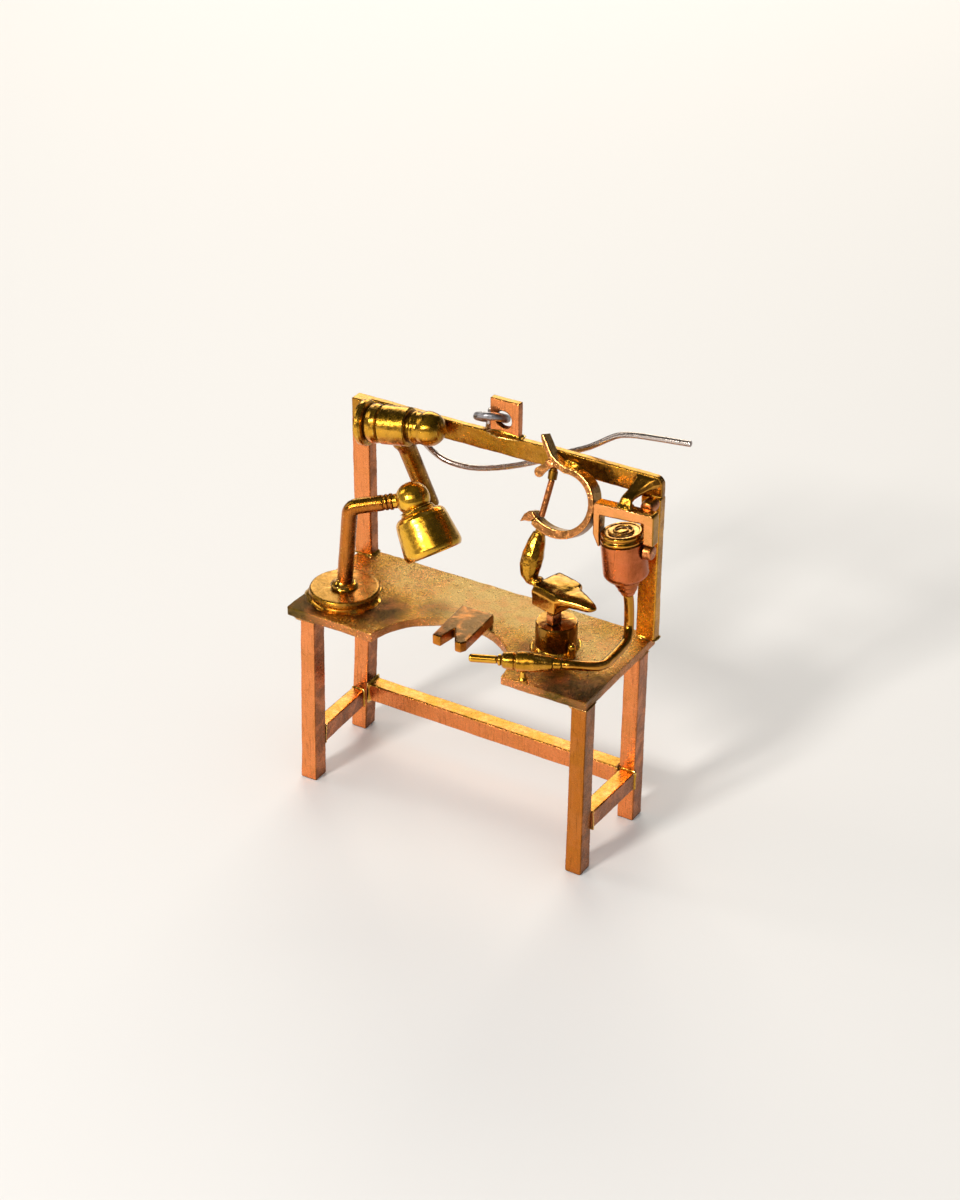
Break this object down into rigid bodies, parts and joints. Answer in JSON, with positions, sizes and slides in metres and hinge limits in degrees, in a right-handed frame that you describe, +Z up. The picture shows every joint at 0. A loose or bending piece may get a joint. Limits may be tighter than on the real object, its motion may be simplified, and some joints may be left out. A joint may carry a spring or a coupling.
{
  "type": "miniature workbench charm",
  "caption": "Soldered brass miniature of a goldsmith's bench with hammer, lamp, saw, anvil and hanging motor, hung from a jump ring and an ear wire.",
  "frame": {"origin": "centre of the bounding box's footprint, at the height of the feet", "axes": "+X along the bench to the right as the goldsmith sees it from the front, +Y away from the goldsmith, +Z up"},
  "size_m": [0.0398, 0.0192, 0.0457],
  "materials": {
    "satin_brass": "satin, with a fine granular texture on the bench top",
    "bright_brass": "polished",
    "rose_brass": "satin, rose tinted, with fine scratches",
    "dark_brass": "oxidised",
    "steel_wire": "grey wire, slightly pitted ring"
  },
  "bodies": {
    "bench": {"bench_top": "satin_brass", "stretcher_left": "satin_brass", "stretcher_right": "satin_brass", "stretcher_back": "satin_brass", "top_rail": "satin_brass", "bench_pin": "satin_brass", "lamp_base": "satin_brass", "hammer_handle": "satin_brass", "saw_bow": "satin_brass", "saw_jaw": "satin_brass", "saw_handle": "satin_brass", "anvil": "satin_brass", "anvil_stump": "satin_brass", "motor_hanger": "satin_brass", "motor_coil": "satin_brass", "lamp_collar": "bright_brass", "lamp_arm": "bright_brass", "lamp_socket": "bright_brass", "lamp_shade": "bright_brass", "hammer_face": "bright_brass", "hammer_neck": "bright_brass", "hammer_head": "bright_brass", "hammer_peen": "bright_brass", "motor_cap": "bright_brass", "flex_hose": "bright_brass", "handpiece_bur": "bright_brass", "handpiece_ring": "bright_brass", "handpiece_ferrule": "bright_brass", "handpiece_rest": "bright_brass", "stump_peg": "bright_brass", "leg_front_left": "rose_brass", "leg_front_right": "rose_brass", "leg_back_left": "rose_brass", "leg_back_right": "rose_brass", "post_left": "rose_brass", "post_right": "rose_brass", "hanging_tab": "rose_brass", "saw_wing_plate": "rose_brass", "saw_blade": "rose_brass", "anvil_foot": "rose_brass", "motor_yoke": "rose_brass", "motor_body": "rose_brass", "motor_nozzle": "rose_brass", "motor_trunnion": "rose_brass", "yoke_spacer": "rose_brass", "handpiece_body": "rose_brass", "bench_pin_block": "dark_brass", "saw_collar": "dark_brass"},
    "jump_ring": {"jump_ring": "steel_wire"},
    "ear_wire": {"ear_wire": "steel_wire"}
  },
  "joints": [
    {"name": "jump_ring_tilt", "type": "hinge", "parent": "bench", "child": "jump_ring", "pos_m": [-0.00276, 0.00746, 0.04311], "axis": [1, 0, 0], "range_deg": [-5, 60]},
    {"name": "ear_wire_swing", "type": "hinge", "parent": "jump_ring", "child": "ear_wire", "pos_m": [-0.00365, 0.00851, 0.04233], "axis": [1, 0, 0], "range_deg": [-8, 22]}
  ]
}
